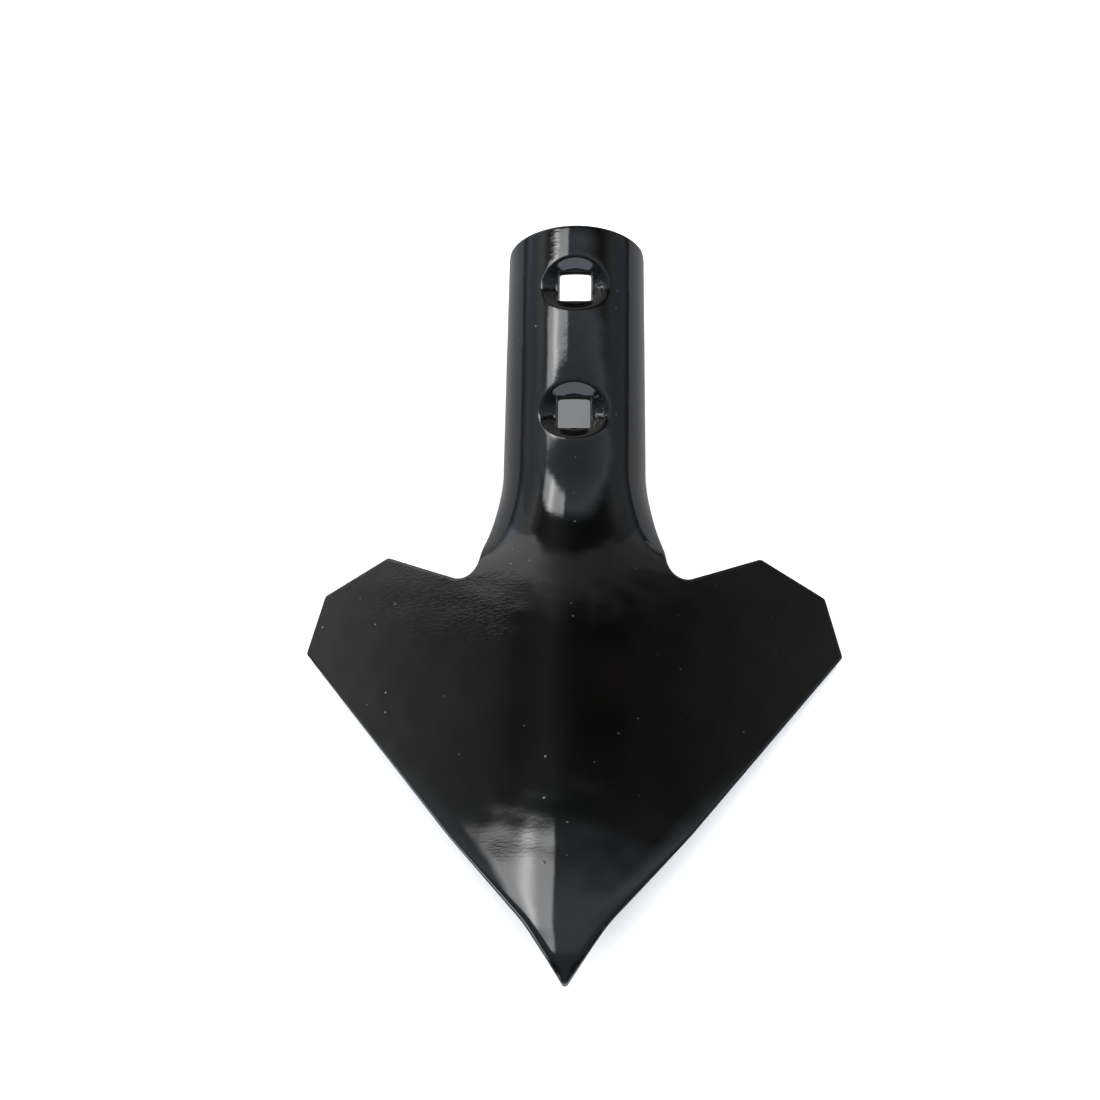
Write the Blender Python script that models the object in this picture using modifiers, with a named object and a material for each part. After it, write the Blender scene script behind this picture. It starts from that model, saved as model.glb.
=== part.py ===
"""Cultivator sweep: a heart-shaped soil blade and its half-round neck, pressed from one steel plate.

The real share is punched flat, heated and pressed, and this script makes it in the same order:

1. a flat sheet of plate, cut to the outline of the blank;
2. the forming map, which lays every point of the flat blank on the pressed shape;
3. two countersunk square holes in the neck, for the plough bolts that hold it to a tine.

Units are metres and +Z is up. The share lies on its two wing ends as it lies on a bench, with its
outer face up, its point towards -Y and its neck rising towards +Y. The flat blank is described by
two lengths: "across", measured from the centre line, and "along", measured from the point.
"""
from math import cos, pi, radians, sin

import bmesh
import bpy
import numpy as np

# ---- driving dimensions, in metres and degrees -------------------------------------------------
NODE = "sweep_share"
PLATE = 0.006                    # thickness of the steel

# flat blank, right half: (across, along)
NOSE = (0.0138, 0.0206)          # where the narrow point widens into the cutting edge
EDGE_CREST = (0.0429, 0.0529)    # the cutting edge bows out a little here
WING_TIP = (0.1093, 0.1329)      # widest corner, the end of the cutting edge
WING_HEEL = (0.1043, 0.1584)     # end of the short shoulder beside it
WING_BACK = (0.0773, 0.1717)     # end of the cropped back corner
BACK_EDGE_SLOPE = 26.5           # the back edge falls towards the neck by this angle
NECK_ROOT_RADIUS = 0.0070        # fillet between the back edge and the neck
NECK_HALF = 0.0374               # half the developed width of the neck
NECK_END = 0.3080                # length of the blank, point to neck end
NECK_CORNER_RADIUS = 0.0050

# pressed shape, all for the middle of the plate
RIDGE_PITCH = 13.0               # blade ridge above the level of the cutting edges
NECK_PITCH = 27.55               # neck axis above the same level
BEND_START = 0.1552              # along: the bend between the two starts, on the blade's side
BEND_END = 0.2074                # along: the neck is straight from here on
BEND_POWER = 0.78                # below 1, so the bend is tighter near the blade
RIDGE_RADIUS = 0.0468            # roundness of the blade's ridge
WING_DROOP = 18.3                # the wings fall away from the ridge by this angle
NECK_RADIUS = 0.0270             # the neck is rolled to this radius
FLARE_START = 0.1542             # along: the ridge starts to tighten into the neck
FLARE_END = 0.2044               # along: the neck has its full roll
FLARE_HALF = 0.0400              # across: only metal nearer than this joins in flare and bend
FLARE_FADE = 0.0160              # across: width over which both die out in the wings
LIE_ANGLE = -16.4                # turn about X that brings the share onto its wing ends

FULL_ROLL = 200.0                # a limit for the slope that the neck never reaches

# bolt holes in the flat, for 1/2 inch plough bolts with a square neck
UPPER_HOLE = 0.2808              # along: centre of the hole nearer the neck end
BOLT_PITCH = 0.05715             # 2 1/4 inch
SQUARE_ACROSS = 0.0146           # the press narrows this to 13 mm at the inner face
SQUARE_ALONG = 0.0136
SINK_DEPTH = 0.0032              # depth of the countersink below the outer face
SINK_MOUTH = (0.0132, 0.0122)    # half the oval mouth, across and along
SINK_FLOOR = 0.0082              # radius of the countersink's floor
SINK_SIDES = 40

CELL = 0.0050                    # grid pitch of the sheet, small enough to press smoothly
WELD = 0.00001                   # points nearer than this are one point
LINE_MARGIN = 0.0100             # the centre line is summed this far past both ends
LINE_STATIONS = 1361             # points in that sum
SLOPE_STEPS = 12                 # samples of the section's slope between the ridge and a point
NORMAL_STEP = 0.00005            # distance between the points that give the surface's normal
PAINT_BLACK = (0.012, 0.012, 0.014, 1.0)
PAINT_ROUGHNESS = 0.12
SHARP_ANGLE = 35.0               # edges sharper than this are shaded as edges


# ---- small helpers ------------------------------------------------------------------------------
def ease(value):
    """0 below 0, 1 above 1, and a smooth rise between."""
    value = np.clip(value, 0.0, 1.0)
    return value * value * (3.0 - 2.0 * value)


def blend(start, end, share):
    return start + (end - start) * share


def clear_scene():
    for item in list(bpy.data.objects):
        bpy.data.objects.remove(item)


def new_collection(name):
    collection = bpy.data.collections.new(name)
    bpy.context.scene.collection.children.link(collection)
    return collection


def mesh_object(name, mesh_data, collection):
    item = bpy.data.objects.new(name, mesh_data)
    collection.objects.link(item)
    return item


def as_cutter(item):
    item.hide_render = True
    item.display_type = "WIRE"
    return item


def boolean(item, cutter, operation):
    """Cut or join with the exact solver and keep the result as the object's own mesh."""
    step = item.modifiers.new("cut", "BOOLEAN")
    step.solver = "EXACT"
    step.operation = operation
    step.object = cutter
    evaluated = item.evaluated_get(bpy.context.evaluated_depsgraph_get())
    result = bpy.data.meshes.new_from_object(evaluated)
    item.modifiers.clear()
    item.data = result


# ---- the flat blank -----------------------------------------------------------------------------
def arc(centre, radius, start, end, steps=6):
    """Points on a circle from one angle to another, both ends included."""
    return [(centre[0] + radius * cos(a), centre[1] + radius * sin(a))
            for a in np.linspace(start, end, steps + 1)]


def half_outline():
    """Right half of the blank, from the point up to the middle of the neck end."""
    slope = radians(BACK_EDGE_SLOPE)
    root_across = NECK_HALF + NECK_ROOT_RADIUS
    # the fillet's centre stands one radius behind the back edge and one beside the neck
    back_edge = WING_BACK[1] - (WING_BACK[0] - root_across) * np.tan(slope)
    root = (root_across, back_edge + NECK_ROOT_RADIUS / cos(slope))
    corner = (NECK_HALF - NECK_CORNER_RADIUS, NECK_END - NECK_CORNER_RADIUS)
    points = [(0.0, 0.0), NOSE, EDGE_CREST, WING_TIP, WING_HEEL, WING_BACK]
    points += arc(root, NECK_ROOT_RADIUS, slope - pi / 2, -pi)
    points += arc(corner, NECK_CORNER_RADIUS, 0.0, pi / 2)
    return points


def blank_cutter(collection):
    """The outline as a filled curve, thicker than the plate, made a closed mesh."""
    right = half_outline()
    left = [(-across, along) for across, along in reversed(right[1:])]
    curve = bpy.data.curves.new("blank_outline", "CURVE")
    curve.dimensions = "2D"
    curve.fill_mode = "BOTH"
    curve.extrude = PLATE
    spline = curve.splines.new("POLY")
    spline.points.add(len(right) + len(left) - 1)
    for point, (across, along) in zip(spline.points, right + left):
        point.co = (across, along, 0.0, 1.0)
    spline.use_cyclic_u = True
    outline = mesh_object("blank_outline_curve", curve, collection)
    evaluated = outline.evaluated_get(bpy.context.evaluated_depsgraph_get())
    cutter_mesh = bpy.data.meshes.new_from_object(evaluated)
    bpy.data.objects.remove(outline)
    work = bmesh.new()
    work.from_mesh(cutter_mesh)
    bmesh.ops.remove_doubles(work, verts=work.verts, dist=WELD)
    bmesh.ops.recalc_face_normals(work, faces=work.faces)
    work.to_mesh(cutter_mesh)
    work.free()
    return as_cutter(mesh_object("blank_outline", cutter_mesh, collection))


def sheet(collection):
    """A gridded slab of plate, centred on its own mid-plane and larger than the blank."""
    half_cells = int(np.ceil(WING_TIP[0] / CELL))
    long_cells = int(np.ceil(NECK_END / CELL)) + 1
    work = bmesh.new()
    bmesh.ops.create_grid(work, x_segments=2 * half_cells, y_segments=long_cells, size=0.5)
    for vert in work.verts:
        vert.co.x *= 2 * half_cells * CELL
        vert.co.y = (vert.co.y + 0.5) * long_cells * CELL - CELL / 2
    plate_mesh = bpy.data.meshes.new(NODE)
    work.to_mesh(plate_mesh)
    work.free()
    slab = mesh_object(NODE, plate_mesh, collection)
    thick = slab.modifiers.new("plate", "SOLIDIFY")
    thick.thickness = PLATE
    thick.offset = 0.0
    return slab


def hole_centres():
    return [(0.0, UPPER_HOLE), (0.0, UPPER_HOLE - BOLT_PITCH)]


def sink_cutter(centre, collection):
    """A cone that leaves the oval mouth at the outer face and the round floor below it."""
    work = bmesh.new()
    # the cone carries on past the outer face, at the same slope, so that it cuts cleanly
    mouth_mean = sum(SINK_MOUTH) / 2
    slope = (mouth_mean - SINK_FLOOR) / SINK_DEPTH
    height = SINK_DEPTH + PLATE
    bmesh.ops.create_cone(work, cap_ends=True, segments=SINK_SIDES, depth=height,
                          radius1=SINK_FLOOR, radius2=SINK_FLOOR + slope * height)
    middle = PLATE / 2 - SINK_DEPTH + height / 2
    for vert in work.verts:
        vert.co.x = centre[0] + vert.co.x * SINK_MOUTH[0] / mouth_mean
        vert.co.y = centre[1] + vert.co.y * SINK_MOUTH[1] / mouth_mean
        vert.co.z += middle
    cutter_mesh = bpy.data.meshes.new("countersink")
    work.to_mesh(cutter_mesh)
    work.free()
    return as_cutter(mesh_object("countersink", cutter_mesh, collection))


def square_cutter(centre, collection):
    work = bmesh.new()
    bmesh.ops.create_cube(work, size=1.0)
    for vert in work.verts:
        vert.co.x = centre[0] + vert.co.x * SQUARE_ACROSS
        vert.co.y = centre[1] + vert.co.y * SQUARE_ALONG
        vert.co.z *= 2 * PLATE
    cutter_mesh = bpy.data.meshes.new("square_punch")
    work.to_mesh(cutter_mesh)
    work.free()
    return as_cutter(mesh_object("square_punch", cutter_mesh, collection))


# ---- the forming map ----------------------------------------------------------------------------
def ridge_line(along):
    """Place (run, rise) and pitch of the centre line, summed from its direction."""
    station = np.linspace(-LINE_MARGIN, NECK_END + LINE_MARGIN, LINE_STATIONS)
    bent = np.clip((station - BEND_START) / (BEND_END - BEND_START), 0.0, 1.0)
    pitch = np.radians(blend(RIDGE_PITCH, NECK_PITCH, ease(bent ** BEND_POWER)) + LIE_ANGLE)
    step = station[1] - station[0]
    middle = (pitch[1:] + pitch[:-1]) / 2
    run = np.concatenate([[0.0], np.cumsum(np.cos(middle) * step)])
    rise = np.concatenate([[0.0], np.cumsum(np.sin(middle) * step)])
    return (np.interp(along, station, run), np.interp(along, station, rise),
            np.interp(along, station, pitch))


def mid_plane(across, along):
    """Where the middle of the plate at (across, along) goes in the press.

    The ridge line carries the section. Near the centre it bends up into the neck, and out in the
    wings it runs on straight. A cross-section turns down from the ridge: its slope grows with the
    arc, faster where the metal joins the neck, and levels off at the wings' droop. The mean of
    the slope's cosine and sine over the arc gives the distance out and the drop below the ridge.
    """
    near = 1.0 - ease((np.abs(across) - FLARE_HALF) / FLARE_FADE)
    run, rise, pitch = ridge_line(along)
    blade_pitch = radians(RIDGE_PITCH + LIE_ANGLE)
    run = blend((along + LINE_MARGIN) * cos(blade_pitch), run, near)
    rise = blend((along + LINE_MARGIN) * sin(blade_pitch), rise, near)
    pitch = blend(blade_pitch, pitch, near)
    flare = ease((along - FLARE_START) / (FLARE_END - FLARE_START)) * near
    turn = blend(1.0 / RIDGE_RADIUS, 1.0 / NECK_RADIUS, flare)
    limit = np.radians(WING_DROOP * (1.0 - flare) + FULL_ROLL * flare ** 1.5)
    part = (np.arange(SLOPE_STEPS) + 0.5) / SLOPE_STEPS
    arc_angle = (np.abs(across) * turn)[:, None] * part
    slope = arc_angle / np.cbrt(1.0 + (arc_angle / limit[:, None]) ** 3)
    out = across * np.cos(slope).mean(axis=1)
    drop = np.abs(across) * np.sin(slope).mean(axis=1)
    return np.stack([out, run + drop * np.sin(pitch), rise - drop * np.cos(pitch)], axis=1)


def pressed(points):
    """Map flat points (across, along, height over the middle of the plate) to the pressed share."""
    across, along, height = points.T
    step = NORMAL_STEP
    sideways = mid_plane(across + step, along) - mid_plane(across - step, along)
    forwards = mid_plane(across, along + step) - mid_plane(across, along - step)
    normal = np.cross(sideways, forwards)
    normal /= np.linalg.norm(normal, axis=1, keepdims=True)
    return mid_plane(across, along) + height[:, None] * normal


def press(item):
    """Triangulate the flat blank, move its points through the map and stand it on z = 0."""
    work = bmesh.new()
    work.from_mesh(item.data)
    bmesh.ops.remove_doubles(work, verts=work.verts, dist=WELD)
    bmesh.ops.dissolve_degenerate(work, edges=work.edges, dist=WELD)
    bmesh.ops.triangulate(work, faces=work.faces)
    work.to_mesh(item.data)
    work.free()
    points = np.empty(3 * len(item.data.vertices))
    item.data.vertices.foreach_get("co", points)
    points = pressed(points.reshape(-1, 3))
    low, high = points.min(axis=0), points.max(axis=0)
    points -= [(low[0] + high[0]) / 2, (low[1] + high[1]) / 2, low[2]]
    item.data.vertices.foreach_set("co", points.ravel())
    item.data.update()


# ---- finish and assembly ------------------------------------------------------------------------
def black_paint():
    paint = bpy.data.materials.new("gloss_black_paint")
    paint.use_nodes = True
    shader = paint.node_tree.nodes["Principled BSDF"]
    shader.inputs["Base Color"].default_value = PAINT_BLACK
    shader.inputs["Roughness"].default_value = PAINT_ROUGHNESS
    shader.inputs["Metallic"].default_value = 0.0
    return paint


def main():
    clear_scene()
    share_collection = new_collection("cultivator_sweep")
    cutters = new_collection("cutters")

    share = sheet(share_collection)
    boolean(share, blank_cutter(cutters), "INTERSECT")
    for centre in hole_centres():
        boolean(share, sink_cutter(centre, cutters), "DIFFERENCE")
        boolean(share, square_cutter(centre, cutters), "DIFFERENCE")
    press(share)

    share.data.materials.clear()
    share.data.materials.append(black_paint())
    share.data.shade_smooth()
    share.data.set_sharp_from_angle(angle=radians(SHARP_ANGLE))
    print(NODE, len(share.data.vertices), "points,", len(share.data.polygons), "faces")


main()
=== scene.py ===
# %% [markdown]
# # A cultivator sweep, pressed from plate and dipped in gloss black paint
#
# A sweep, or goosefoot share, is the part of a cultivator that cuts through the soil. It is one
# piece of steel: a flat blank is punched out, heated, and squeezed between two dies. The wings
# stay nearly flat, a ridge runs up the middle, and behind the wings the ridge tightens into a
# half-round neck that hugs the tine. Two plough bolts hold it there.
#
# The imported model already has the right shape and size, but its faces are coarse. This lesson
# makes the same share again with fine, smooth faces and real edges, and then gives it its paint,
# its light and its camera. Everything is in metres, with +Z up and the nose towards -Y.

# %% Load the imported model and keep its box
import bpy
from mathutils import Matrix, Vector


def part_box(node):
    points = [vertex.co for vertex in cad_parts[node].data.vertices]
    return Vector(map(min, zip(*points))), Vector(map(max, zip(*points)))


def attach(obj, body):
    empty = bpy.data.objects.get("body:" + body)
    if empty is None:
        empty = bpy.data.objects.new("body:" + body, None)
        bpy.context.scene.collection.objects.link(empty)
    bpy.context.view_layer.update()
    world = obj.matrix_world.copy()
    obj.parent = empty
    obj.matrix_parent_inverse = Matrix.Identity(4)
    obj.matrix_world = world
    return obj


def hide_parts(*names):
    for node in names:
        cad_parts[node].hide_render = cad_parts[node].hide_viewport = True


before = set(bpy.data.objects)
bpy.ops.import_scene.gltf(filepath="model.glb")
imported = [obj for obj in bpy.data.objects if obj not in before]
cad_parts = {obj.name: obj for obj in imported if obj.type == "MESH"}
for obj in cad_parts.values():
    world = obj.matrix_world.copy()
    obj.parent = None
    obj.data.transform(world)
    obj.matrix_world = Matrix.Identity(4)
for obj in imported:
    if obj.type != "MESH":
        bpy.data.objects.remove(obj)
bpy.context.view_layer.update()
print("packed nodes:", sorted(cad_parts))

# %% The tools that the lesson uses
from math import ceil, cos, pi, radians, sin

import bmesh
import bpy
import numpy as np
from mathutils import Matrix, Vector

print("Blender", bpy.app.version_string, "and numpy", np.__version__)

# %% [markdown]
# ## The blank and the dies
#
# All the sizes are those of the flat blank and of the dies, because that is how the share is
# drawn in the workshop. A point of the blank has three numbers: `across`, measured from the
# centre line; `along`, measured from the point of the nose; and `height` above the middle of
# the plate. Only the right half is described. The left half is its mirror image.

# %% Sizes of the flat blank
PLATE = 0.006                   # thickness of the steel
NOSE = (0.0138, 0.0206)         # the narrow nose widens here
EDGE_CREST = (0.0429, 0.0529)   # the cutting edge bows out a little
WING_TIP = (0.1093, 0.1329)
WING_HEEL = (0.1043, 0.1584)
WING_BACK = (0.0773, 0.1717)
BACK_EDGE_SLOPE = 26.5          # degrees
NECK_HALF = 0.0374
NECK_END = 0.3080
UPPER_HOLE = 0.2808
BOLT_PITCH = 0.05715
LOWER_HOLE = UPPER_HOLE - BOLT_PITCH
SQUARE = (0.0073, 0.0068)       # half the square hole, across and along
SINK_MOUTH = (0.0132, 0.0122)   # half the oval mouth of the countersink
SINK_DEPTH = 0.0032
SINK_FLOOR = 0.646              # size of the countersink's floor, as a share of its mouth
print("blank", 2 * WING_TIP[0], "wide,", NECK_END, "long")

# %% Sizes of the dies
RIDGE_PITCH = 13.0              # degrees, as are the next three
NECK_PITCH = 27.55
WING_DROOP = 18.3
LIE_ANGLE = -16.4               # brings the share onto its wing ends
FULL_ROLL = 200.0               # degrees: a limit that the neck's roll never reaches
BEND_START = 0.1552             # the bend from blade to neck lies between these two stations
BEND_END = 0.2074
BEND_POWER = 0.78               # below 1, so the bend is tighter on the blade's side
RIDGE_RADIUS = 0.0468
NECK_RADIUS = 0.0270
FLARE_START = 0.1542            # the ridge tightens into the neck's roll between these two
FLARE_END = 0.2044
FLARE_HALF = 0.0400             # only metal this near the centre line joins in flare and bend
FLARE_FADE = 0.0160
FLARE_POWER = 1.5               # above 1, so the neck's roll comes late in the flare
LINE_MARGIN = 0.0100            # the centre line is summed this far past both ends
LINE_STATIONS = 1361
SLOPE_STEPS = 12
NORMAL_STEP = 0.00005
print("the ridge tightens from", RIDGE_RADIUS, "to", NECK_RADIUS, "m")

# %% [markdown]
# ## The forming map
#
# Modelling the pressed share directly would be hard, because its ridge, flare and neck run into
# each other. It is much easier to build the flat blank and to write down what the dies do to it,
# as one function from blank to share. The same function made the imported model, so the two agree.

# %% The forming map
def ease(value):
    """0 below 0, 1 above 1, and 3t^2 - 2t^3 between."""
    value = np.clip(value, 0.0, 1.0)
    return value * value * (3.0 - 2.0 * value)


def blend(start, end, share):
    """start + (end - start) * share."""
    return start + (end - start) * share


def ridge_line(along):
    """Place and pitch of the centre line: the running sum of (cos pitch, sin pitch)."""
    station = np.linspace(-LINE_MARGIN, NECK_END + LINE_MARGIN, LINE_STATIONS)
    bent = np.clip((station - BEND_START) / (BEND_END - BEND_START), 0.0, 1.0)
    pitch = np.radians(blend(RIDGE_PITCH, NECK_PITCH, ease(bent ** BEND_POWER)) + LIE_ANGLE)
    step = station[1] - station[0]
    middle = (pitch[1:] + pitch[:-1]) / 2
    run = np.concatenate([[0.0], np.cumsum(np.cos(middle) * step)])
    rise = np.concatenate([[0.0], np.cumsum(np.sin(middle) * step)])
    return (np.interp(along, station, run), np.interp(along, station, rise),
            np.interp(along, station, pitch))


def mid_plane(across, along):
    """Where the dies put the middle of the plate at (across, along).

    The cross-section turns down from the ridge. Its slope is arc / radius, levelled off at the
    wings' droop by slope / cbrt(1 + (slope / limit)^3). The mean cosine and sine of the slope,
    times the arc, are the distance out and the drop. Near the centre the section rides on the
    bent ridge line, and out in the wings on its straight front part.
    """
    near = 1.0 - ease((np.abs(across) - FLARE_HALF) / FLARE_FADE)
    run, rise, pitch = ridge_line(along)
    blade_pitch = radians(RIDGE_PITCH + LIE_ANGLE)
    run = blend((along + LINE_MARGIN) * cos(blade_pitch), run, near)
    rise = blend((along + LINE_MARGIN) * sin(blade_pitch), rise, near)
    pitch = blend(blade_pitch, pitch, near)
    flare = ease((along - FLARE_START) / (FLARE_END - FLARE_START)) * near
    turn = blend(1.0 / RIDGE_RADIUS, 1.0 / NECK_RADIUS, flare)
    limit = np.radians(WING_DROOP * (1.0 - flare) + FULL_ROLL * flare ** FLARE_POWER)
    part = (np.arange(SLOPE_STEPS) + 0.5) / SLOPE_STEPS
    slope = (np.abs(across) * turn)[:, None] * part
    slope = slope / np.cbrt(1.0 + (slope / limit[:, None]) ** 3)
    out = across * np.cos(slope).mean(axis=1)
    drop = np.abs(across) * np.sin(slope).mean(axis=1)
    return np.stack([out, run + drop * np.sin(pitch), rise - drop * np.cos(pitch)], axis=1)


def pressed(points):
    """Mid-plane plus height times the unit normal, which is the cross product of two slopes."""
    across, along, height = points.T
    step = NORMAL_STEP
    sideways = mid_plane(across + step, along) - mid_plane(across - step, along)
    forwards = mid_plane(across, along + step) - mid_plane(across, along - step)
    normal = np.cross(sideways, forwards)
    normal /= np.linalg.norm(normal, axis=1, keepdims=True)
    return mid_plane(across, along) + height[:, None] * normal


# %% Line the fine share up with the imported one
share_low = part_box("sweep_share")[0]
tip_ends = pressed(np.array([[0.0, 0.0, -PLATE / 2], [0.0, 0.0, PLATE / 2]]))
wing_foot = pressed(np.array([[*WING_TIP, -PLATE / 2]]))[0]
PLACE = np.array([0.0, share_low[1] - tip_ends[:, 1].min(), share_low[2] - wing_foot[2]])
print("the pressed blank moves by", PLACE.round(5))

# %% [markdown]
# ## The outline
#
# A punched outline is straight runs with small rounded corners. It is drawn by a function that
# takes a list of corners with a radius each, replaces every corner by an arc that touches both
# sides, and returns points with the direction that faces into the metal. The direction is what
# lets the next step carry an edge profile along the path.

# %% Two strokes: a straight run and a rounded corner
TIP_RADIUS = 0.0014
NOSE_RADIUS = 0.0600
CREST_RADIUS = 0.2500
CORNER_RADIUS = 0.0020
NECK_ROOT_RADIUS = 0.0070
NECK_CORNER_RADIUS = 0.0050
ROOT_STEPS = 24                 # points round the inside corner at the neck's root
RUN_STEP = 0.0014               # spacing of points along a straight run
HOLE_PATCH = (0.0185, 0.0180)   # half of the patch that is kept free round each hole


def run(start, end, stops=()):
    """Evenly spaced points on a straight run, with a point at each stop on the way."""
    marks = [np.asarray(mark) for mark in (start, *stops, end)]
    pieces = []
    for first, second in zip(marks[:-1], marks[1:]):
        count = max(1, ceil(np.linalg.norm(second - first) / RUN_STEP))
        pieces.append(first + (second - first) * (np.arange(count) / count)[:, None])
    return np.concatenate(pieces)


def corner(place, before, after, radius, count):
    """An arc that touches both sides of a corner, and the way into the metal at each point.

    Its centre lies on the line that halves the corner, at radius / cos(half the turn) from it.
    """
    turn = np.arctan2(before[0] * after[1] - before[1] * after[0], before @ after)
    towards = (after - before) / np.linalg.norm(after - before)
    centre = place + towards * radius / cos(turn / 2)
    side = np.sign(turn)                        # +1 turns to the left, where the metal is
    start = np.arctan2(-before[0] * side, before[1] * side)
    angle = start + turn * np.linspace(0.0, 1.0, count + 1)
    spoke = np.stack([np.cos(angle), np.sin(angle)], axis=1)
    return centre + radius * spoke, -side * spoke


# %% The outline of the right half
CORNER_RADII = (TIP_RADIUS, NOSE_RADIUS, CREST_RADIUS, CORNER_RADIUS, CORNER_RADIUS, CORNER_RADIUS,
                NECK_ROOT_RADIUS, NECK_CORNER_RADIUS)
CORNER_STEPS = (8, 6, 8, 8, 6, 6, ROOT_STEPS, 14)
ROOT = 6                        # the root's number among the corners, counted from the tip


def half_outline():
    """Points and inward directions from the nose, round the right wing, to the neck end.

    Also the index of the middle of each corner, which the rows of the sheet are hung on.
    """
    root = (NECK_HALF, WING_BACK[1] - (WING_BACK[0] - NECK_HALF) * np.tan(radians(BACK_EDGE_SLOPE)))
    places = [(0.0, 0.0), NOSE, EDGE_CREST, WING_TIP, WING_HEEL, WING_BACK, root,
              (NECK_HALF, NECK_END), (0.0, NECK_END)]
    places = [np.array(place) for place in places]
    ways = [(b - a) / np.linalg.norm(b - a) for a, b in zip(places[:-1], places[1:])]
    ways.insert(0, ways[0] * (1, -1))           # the left nose edge comes down to the tip
    stops = [(NECK_HALF, hole + side * HOLE_PATCH[1])
             for hole in (LOWER_HOLE, UPPER_HOLE) for side in (-1, 1)]
    points, inwards, middles, filled = [], [], [], 0
    for index, (radius, count) in enumerate(zip(CORNER_RADII, CORNER_STEPS)):
        arc, spokes = corner(places[index], ways[index], ways[index + 1], radius, count)
        if index == 0:
            arc, spokes = arc[count // 2:], spokes[count // 2:]
        else:
            on_neck = index == len(CORNER_STEPS) - 1
            straight = run(points[-1][-1], arc[0], stops if on_neck else ())[1:]
            points.append(straight)
            inwards.append(np.tile([-ways[index][1], ways[index][0]], (len(straight), 1)))
            filled += len(straight)
        middles.append(filled + (count // 2 if index else 0))
        points.append(arc)
        inwards.append(spokes)
        filled += len(arc)
    straight = run(points[-1][-1], places[-1])[1:]
    points += [straight, places[-1][None]]
    inwards.append(np.tile([0.0, -1.0], (len(straight) + 1, 1)))
    return np.concatenate(points), np.concatenate(inwards), middles


outline, inward, middles = half_outline()
travel = np.concatenate([[0.0], np.cumsum(np.linalg.norm(np.diff(outline, axis=0), axis=1))])
print("outline:", len(outline), "points over", travel[-1].round(4), "m")

# %% [markdown]
# ## The sheet and its edge
#
# One section is carried along the outline: across the outer face from the centre line to the
# edge, over the rolled upper corner that the press leaves, down the cut wall, round the small
# lower corner, and back along the inner face. Near the nose the roll is wider and deeper,
# because the dies drag the thin point down. Rows and columns of numbers are all that is needed,
# so the whole half is one grid.

# %% The rows of the sheet
ROLL = (0.0012, 0.0006)         # the rolled corner, inwards and down
NOSE_ROLL = (0.0026, 0.0014)
NOSE_ROLL_LENGTH = 0.045
NOSE_ROLL_HELD = 0.2            # it keeps its full width over this share of that length
BURR_RADIUS = 0.0004            # the lower corner
SEAM = 0.0003                   # a narrow strip beside the roll keeps the flat face's shading flat
USED_ROOM = 0.8                 # the roll stops short of the centre line by a fifth of the way
INNER_COLUMNS = 24              # from the centre line to the column beside the holes
OUTER_COLUMNS = 26              # from there to the edge, on the outer face
UNDER_COLUMNS = 7               # the same on the inner face
ROLL_STEPS = 6
WALL_STEPS = 3
BURR_STEPS = 3
TINY = 1e-6
PLENTY = 1.0                    # metres of room, behind the nose, where nothing is in the way

# room is the way from the outline to the centre line, straight into the metal
near_nose = 1.0 - ease(outline[:, 1] / NOSE_ROLL_LENGTH - NOSE_ROLL_HELD)
sloping = np.maximum(-inward[:, 0], TINY)
room = np.where(inward[:, 0] < -TINY, outline[:, 0] / sloping, TIP_RADIUS)
room = np.where(outline[:, 1] < WING_BACK[1] / 2, room, PLENTY) * USED_ROOM
seam = np.minimum(SEAM, room * (1.0 - USED_ROOM))
roll_in = np.minimum(blend(ROLL[0], NOSE_ROLL[0], near_nose), room - seam)
roll_down = np.minimum(blend(ROLL[1], NOSE_ROLL[1], near_nose), roll_in)
print("rolled corner:", roll_in.min().round(5), "to", roll_in.max().round(5))

# %% Where each row starts on the centre line
# at a chosen station for each corner, then level with its own outline point up the neck
CENTRE_STATIONS = (0.0045, 0.0200, 0.0450, 0.0760, 0.0920, 0.1020, 0.1200)
CENTRE_END = 0.3030
WELD = 1e-7                     # two points closer than this are one point

root_start = middles[ROOT] - ROOT_STEPS // 2
root_end = middles[ROOT] + ROOT_STEPS // 2
centre = np.interp(travel, travel[middles[:ROOT] + [root_start, root_end]],
                   [*CENTRE_STATIONS, outline[root_end, 1]])
last_level = UPPER_HOLE + HOLE_PATCH[1]
beyond = np.arange(len(outline)) > root_end
top_row = np.searchsorted(np.where(beyond, outline[:, 1], 0.0), last_level - WELD)
centre = np.where(beyond, outline[:, 1], centre)
past = travel > travel[top_row]
centre = np.where(past, np.interp(travel, [travel[top_row], travel[-1]],
                                  [last_level, CENTRE_END]), centre)
print("rows run from station", centre.min().round(4), "to", centre.max().round(4))


# %% One face of the sheet
HOLE_COLUMN_START = 0.170       # from here the column moves over until it stands beside the holes
HOLE_COLUMN_LENGTH = 0.030
END_SHARE = 0.5                 # at the neck's end that column lies half-way out


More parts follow.
